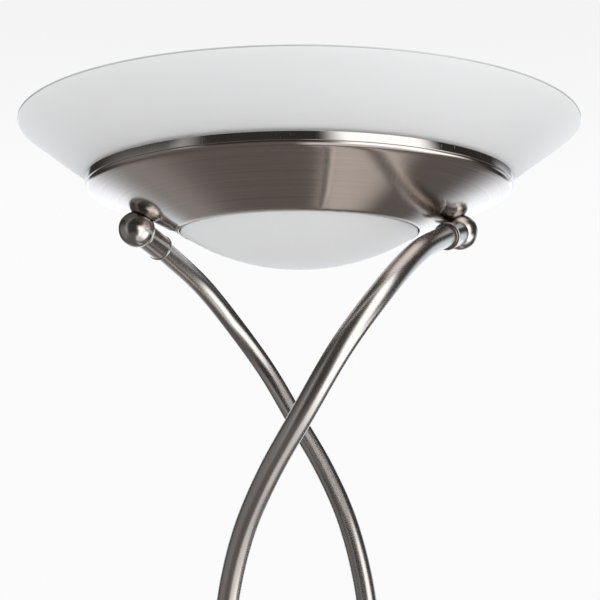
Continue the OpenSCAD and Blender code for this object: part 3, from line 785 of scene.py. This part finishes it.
def halogen_lamp():
    """Double-ended lamp: quartz tube drawn down to its seals, and its coiled filament."""
    place = at_bridge() @ Matrix.Translation((0, 0, LAMP_Z)) @ Matrix.Rotation(math.pi / 2, 4, "Y")
    half, r, wall = 48 * MM, 5 * MM, 1 * MM
    outer = [(3.4 * MM, -half), (3.7 * MM, -half + 1.5 * MM), (4.6 * MM, -half + 4 * MM), (r, -half + 7 * MM)]
    inner = [(2.0 * MM, -half + 1.6 * MM), (3.4 * MM, -half + 4.2 * MM), (r - wall, -half + 7.4 * MM)]
    middle = [(r, z * 8 * MM) for z in range(-4, 5)]
    profile = [(0, -half)] + outer + middle + [(x, -z) for x, z in reversed(outer)] + [(0, half)]
    profile += [(0, half - 1.2 * MM)] + [(x, -z) for x, z in inner] + [(x, z) for x, z in reversed(inner)]
    profile += [(0, -half + 1.2 * MM)]
    piece = revolve("lamp_envelope", profile, place, steps=64, sharp=50)
    finish_piece(piece, FRAME_BODY, "quartz", ["halogen_tube"], QUARTZ)
    turns, per_turn = 96, 10
    count = turns * per_turn
    coil_r, coil_half, turn_step = 0.55, 40, 0.63
    swing = coil_r * turn_step
    coil = []
    for i in range(count + 1):
        a = 2 * math.pi * i / per_turn
        x = -coil_half + 2 * coil_half * i / count
        centre = along_bridge(x, coil_r * math.cos(a), coil_r * math.sin(a))
        tangent = Vector((2 * coil_half / count, -swing * math.sin(a), swing * math.cos(a)))
        coil.append((centre, (at_bridge().to_3x3() @ tangent).normalized()))
    parts = [sweep("coil", coil, [even(0.14 * MM, coil)], 6, 60)]
    for side in (-1, 1):
        tail = [along_bridge(side * x, y, 0) for x, y in ((coil_half, coil_r), (42, 0.2), (46.7, 0))]
        parts.append(smooth_rod("tail", tail, 0.18 * MM, 8))
    finish_piece(joined("lamp_filament", parts), FRAME_BODY, "tungsten", ["filament"], TUNGSTEN)


def wiring():
    """The leads, round and smooth. The one in the head hangs 12 mm lower than the CAD source's."""
    floor = (BRIDGE_LOW - LAMP_Z) / MM
    z = floor + 5
    low = floor + 2.2
    over = [(76.9, 6, 6), (76.8, 6, 12.5), (73.5, 5.5, 16), (69.5, 5.2, 15.4), (67.5, 5, 12.6)]
    short = [(79.6, 7, z), (78.2, 7, z + 0.2), (77.3, 6.8, z + 2.4)] + over
    across = [(79.6, 0, z), (78.2, -0.2, z), (77.1, -2.6, z - 0.3), (76.5, -12, z - 2)]
    across += [(68.5, -12.2, low), (40, -12.2, low), (-40, -12.2, low), (-68.5, -12.2, low)]
    across += [(-75.8, -12, z - 2), (-77.2, -6.5, z + 2)] + [(-x, -y, h) for x, y, h in over]
    parts = [
        smooth_rod("lead", [along_bridge(*p) for p in points], 1.3 * MM) for points in (short, across)
    ]
    finish_piece(joined("head_wiring", parts), FRAME_BODY, "silicone", ["head_leads"], SILICONE)

    up = at_ball(1).to_3x3() @ Vector((0, 0, 1))
    block = at_bridge() @ Vector((90.6 * MM, 3 * MM, BRIDGE_LOW + 6 * MM))
    points = [block, BALL_AT + up * (27 * MM) - Vector((4 * MM, 0, 0)), BALL_AT + up * (20 * MM)]
    points += [BALL_AT + up * (7.2 * MM), BALL_AT + START_DIR * (7.2 * MM)] + ROUTE
    points += [
        Vector(p) * MM for p in ((95, 5, 15), (93, 3, 9.2), (88, -2.4, 7.1), (68, -24, 7.1), (12, -83, 7.1))
    ]
    piece = smooth_rod("supply_wiring", points, 1.8 * MM, 16, 6)
    finish_piece(piece, FRAME_BODY, "black_plastic", ["supply_lead"], BLACK_PLASTIC)
    points = [
        Vector((0, y * MM, h * MM))
        for y, h in ((136, 12.5), (130, 11.5), (123, 8.1), (114, 7.1), (60, 7.1), (-20, 7.1), (-78.5, 7.1))
    ]
    piece = smooth_rod("inlet_wiring", points, 1.8 * MM, 16, 6)
    finish_piece(piece, FRAME_BODY, "black_plastic", ["inlet_lead"], BLACK_PLASTIC)


# ----------------------------------------------------------------------------------------------------
# Base
# ----------------------------------------------------------------------------------------------------


def base_shell():
    """The spun cover: a flat middle, a shallow fall and a rolled edge, with its holes."""
    fall, edge_r, sheet = 19, 5 * MM, 1.2 * MM
    slope = math.radians(fall)
    flat_r = SOCKET_REACH + SOCKET_R + 4 * MM
    edge_x = BASE_R - edge_r
    edge_z = BASE_H - (edge_x - flat_r) * math.tan(slope) - edge_r / math.cos(slope)
    skirt = cover_low.z
    profile = [(0, BASE_H), (40 * MM, BASE_H), (80 * MM, BASE_H)]
    profile += [(flat_r - 4 * MM, BASE_H), (flat_r - 1.5 * MM, BASE_H - 0.05 * MM)]
    profile += [(flat_r + 1.5 * MM, BASE_H - 0.6 * MM)]
    profile += arc((edge_x, edge_z), edge_r, 90 - fall, 0, 10)
    profile += [(BASE_R, skirt + 0.3 * MM), (BASE_R - 0.3 * MM, skirt), (BASE_R - sheet, skirt)]
    profile += arc((edge_x, edge_z), edge_r - sheet, 0, 90 - fall, 8)
    profile += [(flat_r, BASE_H - sheet), (0, BASE_H - sheet)]
    piece = revolve("base_cover_spun", profile, steps=256, sharp=25)
    start, depth = BASE_H - 5 * MM, 8 * MM
    socket = Matrix.Translation((SOCKET_REACH, SOCKET_SHIFT, start))
    holes = [(half_turn(side) @ socket, 4.96 * MM, depth) for name, side in SIDES]
    holes.append((Matrix.Translation((0, BUTTON_Y, start)), 12.06 * MM, depth))
    inlet = Matrix.Translation((0, BASE_R - 10 * MM, INLET_Z)) @ Matrix.Rotation(-math.pi / 2, 4, "X")
    holes.append((inlet, 6.06 * MM, 14 * MM))
    drilled(piece, holes, 25)
    finish_piece(piece, FRAME_BODY, "brushed_nickel", ["base_cover"], DISH_METAL)


def base_sockets():
    """Turned sockets: a round foot, a cove and a barrel with a beaded lip."""
    z = BASE_H + 0.1 * MM
    r = SOCKET_R
    barrel = TUBE_R + 2.6 * MM
    bore = TUBE_R + 0.12 * MM
    lip = 0.8 * MM
    profile = (
        [(5.0 * MM, z), (r - 0.4 * MM, z), (r, z + 0.4 * MM)]
        + arc((r - 0.7 * MM, z + 3.3 * MM), 0.7 * MM, 0, 90, 6)
        + [(r - 1.0 * MM, z + 4.1 * MM)]
        + arc((r - 0.3 * MM, z + 9.2 * MM), 4.2 * MM, 248, 184, 8)
        + [(barrel, z + 17.4 * MM), (barrel - 0.3 * MM, z + 17.7 * MM), (barrel - 0.3 * MM, z + 18.1 * MM)]
        + arc((barrel - 0.8 * MM, z + 19.1 * MM), lip, -40, 90, 8)
        + [(bore, z + 19.9 * MM), (bore, z + 2.9 * MM), (5.0 * MM, z + 2.9 * MM)]
    )
    for name, side in SIDES:
        place = half_turn(side) @ Matrix.Translation((SOCKET_REACH, SOCKET_SHIFT, 0))
        piece = revolve(f"base_socket_{name}_turned", profile, place, steps=96, sharp=30)
        finish_piece(piece, FRAME_BODY, "satin_nickel", [f"base_socket_{name}"], TURNED_METAL)


def foot_switch():
    """The button, dished for a toe, and the knurled nut round it."""
    place = Matrix.Translation((0, BUTTON_Y, 0))
    low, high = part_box("foot_button")
    r = (high.x - low.x) / 2
    top = high.z
    profile = [(0, low.z), (r - 0.3 * MM, low.z), (r, low.z + 0.3 * MM)]
    profile += arc((r - 1.4 * MM, top - 1.4 * MM), 1.4 * MM, 0, 84, 8)
    profile += [(r - 2.2 * MM, top - 0.1 * MM), (r * 0.55, top - 0.55 * MM), (r * 0.25, top - 0.75 * MM)]
    profile += [(0, top - 0.8 * MM)]
    piece = revolve("foot_button_turned", profile, place, steps=96, sharp=45)
    finish_piece(piece, BUTTON_BODY, "satin_nickel", ["foot_button"], TURNED_METAL)
    low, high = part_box("switch_nut")
    outer = (high.x - low.x) / 2
    bore = 12.07 * MM
    c = 0.5 * MM
    profile = [
        (bore, low.z), (outer - c, low.z), (outer, low.z + c), (outer, high.z - c),
        (outer - c, high.z), (12.4 * MM, high.z), (bore, high.z - 0.3 * MM),
    ]
    piece = revolve("switch_nut_knurled", profile, None, steps=288, sharp=30)
    for vertex in piece.data.vertices:
        flat = math.hypot(vertex.co.x, vertex.co.y)
        if flat > outer - 0.2 * MM:
            turn = math.atan2(vertex.co.y, vertex.co.x)
            shrink = 1 - 0.028 * (0.5 + 0.5 * math.cos(48 * turn))
            vertex.co.x *= shrink
            vertex.co.y *= shrink
    piece.data.transform(place)
    finish_piece(piece, FRAME_BODY, "satin_nickel", ["switch_nut"], TURNED_METAL)


def inlet_grommet():
    """Moulded grommet with two rounded flanges."""
    place = Matrix.Translation((0, BASE_R - 8 * MM, INLET_Z)) @ Matrix.Rotation(-math.pi / 2, 4, "X")
    bore = 3.5 * MM
    profile = (
        [(bore, 0.5 * MM), (bore + 0.5 * MM, 0), (6.1 * MM, 0), (6.6 * MM, 0.5 * MM), (6.6 * MM, 6.2 * MM)]
        + [(6.0 * MM, 6.2 * MM), (6.0 * MM, 8.2 * MM), (7.5 * MM, 8.2 * MM)]
        + arc((6.7 * MM, 9.4 * MM), 0.8 * MM, 0, 90, 6)
        + [(bore + 1.0 * MM, 10.2 * MM), (bore + 0.3 * MM, 9.9 * MM), (bore, 9.2 * MM)]
    )
    piece = revolve("inlet_grommet", profile, place, steps=72, sharp=40)
    finish_piece(piece, FRAME_BODY, "black_plastic", ["cable_inlet"], BLACK_PLASTIC)


# ----------------------------------------------------------------------------------------------------
# CAD nodes that stay: their materials, and rounded edges where they show
# ----------------------------------------------------------------------------------------------------

KEPT = (
    ("bridge", ZINC, 0.3), ("bridge_washers", ZINC, 0.15), ("bridge_nuts", BRASS, 0.3),
    ("dish_nipple_left", BRASS, 0.2), ("dish_nipple_right", BRASS, 0.2), ("lamp_bracket", ZINC, 0.25),
    ("bracket_screws", BRASS, 0.2), ("earth_screw", BRASS, 0.2), ("lampholder_left", CERAMIC, 0.6),
    ("lampholder_right", CERAMIC, 0.6), ("contact_pin_left", BRASS, 0.0), ("contact_pin_right", BRASS, 0.0),
    ("halogen_caps", CERAMIC, 0.2), ("terminal_block", CERAMIC, 0.4), ("arm_nipple_left", BRASS, 0.0),
    ("arm_nipple_right", BRASS, 0.0), ("base_bolts", ZINC, 0.0), ("base_nuts", ZINC, 0.2),
    ("base_spacers", ZINC, 0.0), ("base_weight", IRON, 0.4), ("base_plate", PLATE_PAINT, 0.0),
    ("base_feet", BLACK_RUBBER, 0.5), ("plate_screws", ZINC, 0.2), ("switch_body", BLACK_PLASTIC, 0.3),
)


def dress_cad_nodes():
    for name, material, bevel in KEPT:
        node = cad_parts[name]
        node.data.materials.clear()
        node.data.materials.append(material)
        if bevel:
            modifier = node.modifiers.new("soft_edges", "BEVEL")
            modifier.width = bevel * MM
            modifier.segments = 2
            modifier.limit_method = "ANGLE"
            modifier.angle_limit = math.radians(40)


# ----------------------------------------------------------------------------------------------------
# Stage: floor, light and camera
# ----------------------------------------------------------------------------------------------------


def pale_floor():
    work = bmesh.new()
    bmesh.ops.create_circle(work, cap_ends=True, segments=96, radius=6.0)
    mesh = bpy.data.meshes.new("floor")
    work.to_mesh(mesh)
    work.free()
    floor = bpy.data.objects.new("floor", mesh)
    bpy.context.scene.collection.objects.link(floor)
    m = Nodes("floor_paint", Roughness=0.8)
    cloud = m.noise(m.coordinates("Object"), 1.5, 3.0, 0.5)
    m.put(m.ramp(cloud, ((0.3, (0.80, 0.80, 0.80)), (0.7, (0.84, 0.84, 0.84)))), "Base Color")
    mesh.materials.append(m.material)
    floor.visible_glossy = False


class World(Nodes):
    """The studio round the lamp, as lobes of light over the directions."""

    def __init__(self):
        world = bpy.data.worlds.new("studio")
        bpy.context.scene.world = world
        world.use_nodes = True
        self.tree = world.node_tree
        self.tree.nodes.clear()
        place = self.add("ShaderNodeTexCoord")
        split = self.add("ShaderNodeSeparateXYZ")
        self.link(place.outputs["Generated"], split.inputs["Vector"])
        self.x, self.y, self.z = split.outputs
        degrees = math.degrees(1)
        turn = self.math("ARCTAN2", self.x, self.math("MULTIPLY", self.y, -1.0))
        self.azimuth = self.math("MULTIPLY", turn, degrees)
        self.elevation = self.math("MULTIPLY", self.math("ARCSINE", self.z), degrees)

    def step(self, value, start, end):
        """0 below start and 1 above end, smooth between; falling if end is below start."""
        node = self.add("ShaderNodeMapRange", interpolation_type="SMOOTHSTEP")
        low, high = min(start, end), max(start, end)
        node.inputs["From Min"].default_value = low
        node.inputs["From Max"].default_value = high
        node.inputs["To Min"].default_value = 0.0 if end > start else 1.0
        node.inputs["To Max"].default_value = 1.0 if end > start else 0.0
        self.link(value, node.inputs["Value"])
        return node.outputs["Result"]

    def window(self, value, start, end, soft):
        rise = self.step(value, start - soft, start + soft)
        fall = self.step(value, end + soft, end - soft)
        return self.math("MULTIPLY", rise, fall)

    def product(self, *values):
        total = values[0]
        for value in values[1:]:
            total = self.math("MULTIPLY", total, value)
        return total

    def total(self, *values):
        result = values[0]
        for value in values[1:]:
            result = self.math("ADD", result, value)
        return result


def studio():
    """The room, by kind of ray. The metal mirrors a dark room: a tall soft light to the right of the camera,
    a narrow one to its left, a white backdrop behind that fades to a dim floor, and a light patch on that
    floor to the right. A soft dome, brighter above and in front, lights the glass and the floor. The camera
    sees a pale backdrop."""
    w = World()
    az, el = w.azimuth, w.elevation
    key = w.product(w.window(az, 17, 69, 9), w.window(el, -14, 60, 10), 2.0)
    key_low = w.product(w.window(az, 24, 100, 8), w.window(el, -50, -14, 8), 2.1)
    pool = w.product(w.window(az, 5, 110, 10), w.window(el, -86, -50, 6), 0.8)
    fill = w.product(w.window(az, -66, -54, 6), w.window(el, -25, 40, 15), 0.34)
    fill_low = w.product(w.window(az, -118, -54, 14), w.window(el, -36, 14, 15), 0.2)
    side = w.product(w.window(az, 124, 152, 8), w.window(el, -10, 12, 6), 0.95)
    right = w.step(az, 147, 154)
    left = w.step(az, -142, -150)
    horizon = w.product(w.total(right, left), w.step(el, -34, -10), w.step(el, 18, 8), 1.35)
    dim = w.product(left, w.window(el, -44, -26, 8), 0.2)
    patch = w.product(right, w.step(az, 175, 168), w.step(el, -45, -52), 0.58)
    ground = w.product(w.step(el, -22, -36), 0.11)
    base = 0.045
    glossy = w.total(base, key, key_low, pool, fill, fill_low, side, horizon, dim, patch, ground)
    warm = w.total(base, patch, ground)
    cool = w.total(side, horizon)
    mirror = w.add("ShaderNodeCombineXYZ")
    for socket, brown, blue in zip(mirror.inputs, (0.0, -0.075, -0.13), (-0.06, 0.0, 0.07)):
        w.link(w.total(glossy, w.product(warm, brown), w.product(cool, blue)), socket)
    front = w.step(w.y, 0.7, -0.9)
    soft = w.total(0.335, w.product(front, 0.305), w.product(w.step(w.x, -1.0, 1.0), 0.05))
    soft = w.total(soft, w.product(w.step(el, -30, 60), 0.5))
    backdrop = w.total(0.905, w.product(w.step(el, 20, 11), 0.06))
    path = w.add("ShaderNodeLightPath")
    out = w.add("ShaderNodeOutputWorld")
    shaders = []
    for value in (soft, mirror.outputs["Vector"], backdrop):
        node = w.add("ShaderNodeBackground")
        w.link(value, node.inputs["Color"])
        shaders.append(node.outputs["Background"])
    last = shaders[0]
    for ray, shader in (("Is Glossy Ray", shaders[1]), ("Is Camera Ray", shaders[2])):
        mix = w.add("ShaderNodeMixShader")
        w.link(path.outputs[ray], mix.inputs[0])
        w.link(last, mix.inputs[1])
        w.link(shader, mix.inputs[2])
        last = mix.outputs["Shader"]
    w.link(last, out.inputs["Surface"])


def soft_light(name, place, aim, size, power):
    data = bpy.data.lights.new(name, "AREA")
    data.shape = "RECTANGLE"
    data.size, data.size_y = size
    data.energy = power
    light = bpy.data.objects.new(name, data)
    light.location = place
    light.rotation_euler = (Vector(aim) - Vector(place)).to_track_quat("-Z", "Y").to_euler()
    light.visible_glossy = False
    bpy.context.scene.collection.objects.link(light)


def lights():
    soft_light("key_soft", (1.6, -1.8, 2.6), (0, 0, 1.2), (1.2, 1.6), 22)


CAMERA_LENS = 73.07
CAMERA_AT = (0.0005, -0.8614, LAMP_H - 0.2246)
CAMERA_TILT = 0.12


def camera():
    """The photograph's viewing angle: a little below the dish, looking up 6.9 degrees."""
    data = bpy.data.cameras.new("camera")
    data.lens = CAMERA_LENS
    data.sensor_width = 36
    data.clip_start = 0.01
    view = bpy.data.objects.new("camera", data)
    view.location = CAMERA_AT
    view.rotation_euler = (math.pi / 2 + CAMERA_TILT, 0, 0)
    bpy.context.scene.collection.objects.link(view)
    bpy.context.scene.camera = view
    bpy.context.scene.view_settings.view_transform = "Standard"


camera()
studio()
lights()
pale_floor()
shade_glass()
rim_ring()
dish_spun()
dome_glass()
silicone_rings()
balls()
collars()
arms()
halogen_lamp()
wiring()
base_shell()
base_sockets()
foot_switch()
inlet_grommet()
dress_cad_nodes()
